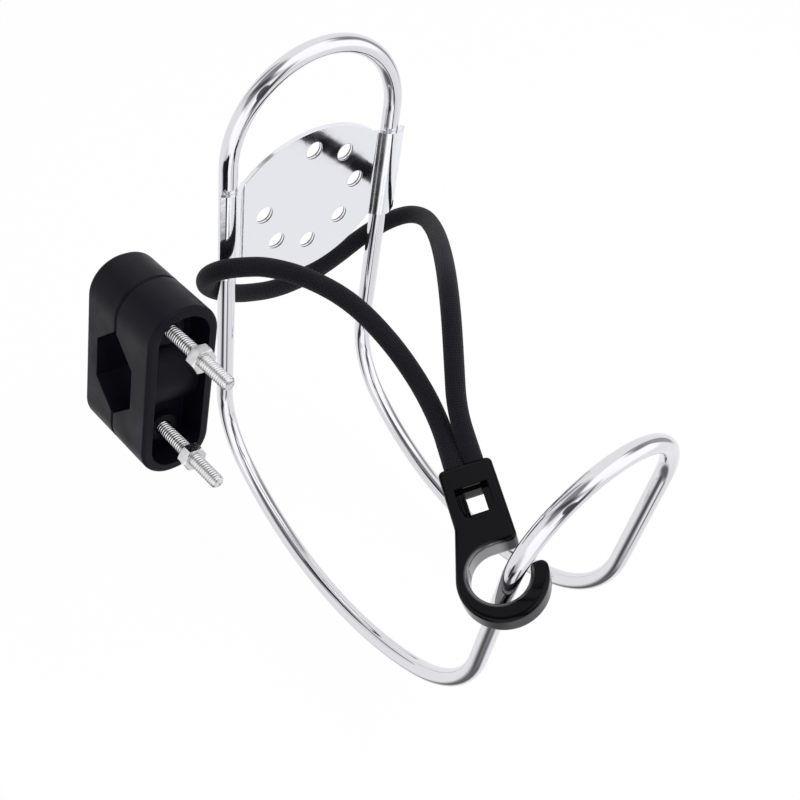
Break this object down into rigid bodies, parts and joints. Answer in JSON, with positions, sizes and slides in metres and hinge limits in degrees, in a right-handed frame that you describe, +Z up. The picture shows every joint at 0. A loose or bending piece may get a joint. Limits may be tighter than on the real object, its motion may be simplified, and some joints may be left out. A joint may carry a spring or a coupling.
{
  "type": "life ring holder",
  "caption": "Cradle of bent polished rod with a drilled mounting plate, an elastic shock cord on a moulded hook, and a two-part rail clamp beside it.",
  "frame": {"origin": "centre of the hole circle on the back face of the mounting plate", "axes": "+Z up, the cradle reaches forward along -Y, +X to the right as seen from the front; the back face of the plate looks along +Y"},
  "size_m": [0.1893, 0.2178, 0.249],
  "materials": {
    "polished_rod": "mirror polished stainless steel",
    "plate": "polished stainless sheet",
    "cord": "braided black",
    "hook": "glossy black moulding",
    "clamp": "satin charcoal moulding",
    "bolts": "bright threaded steel",
    "nuts": "bright steel"
  },
  "bodies": {
    "holder": {"wire_frame": "polished_rod", "mounting_plate": "plate", "shock_cord": "cord", "cord_hook": "hook", "clamp_front_jaw": "clamp"},
    "back_jaw_and_bolts": {"clamp_back_jaw": "clamp", "upper_bolt": "bolts", "lower_bolt": "bolts"},
    "upper_nut": {"upper_nut": "nuts"},
    "lower_nut": {"lower_nut": "nuts"}
  },
  "joints": [
    {"name": "jaw_opening", "type": "slide", "parent": "holder", "child": "back_jaw_and_bolts", "axis": [-0.0256, 0.9952, -0.0946], "range_m": [0, 0.01]},
    {"name": "upper_nut_travel", "type": "slide", "parent": "holder", "child": "upper_nut", "axis": [-0.0256, 0.9952, -0.0946], "range_m": [-0.006, 0.018]},
    {"name": "lower_nut_travel", "type": "slide", "parent": "holder", "child": "lower_nut", "axis": [-0.0256, 0.9952, -0.0946], "range_m": [-0.006, 0.018]}
  ]
}
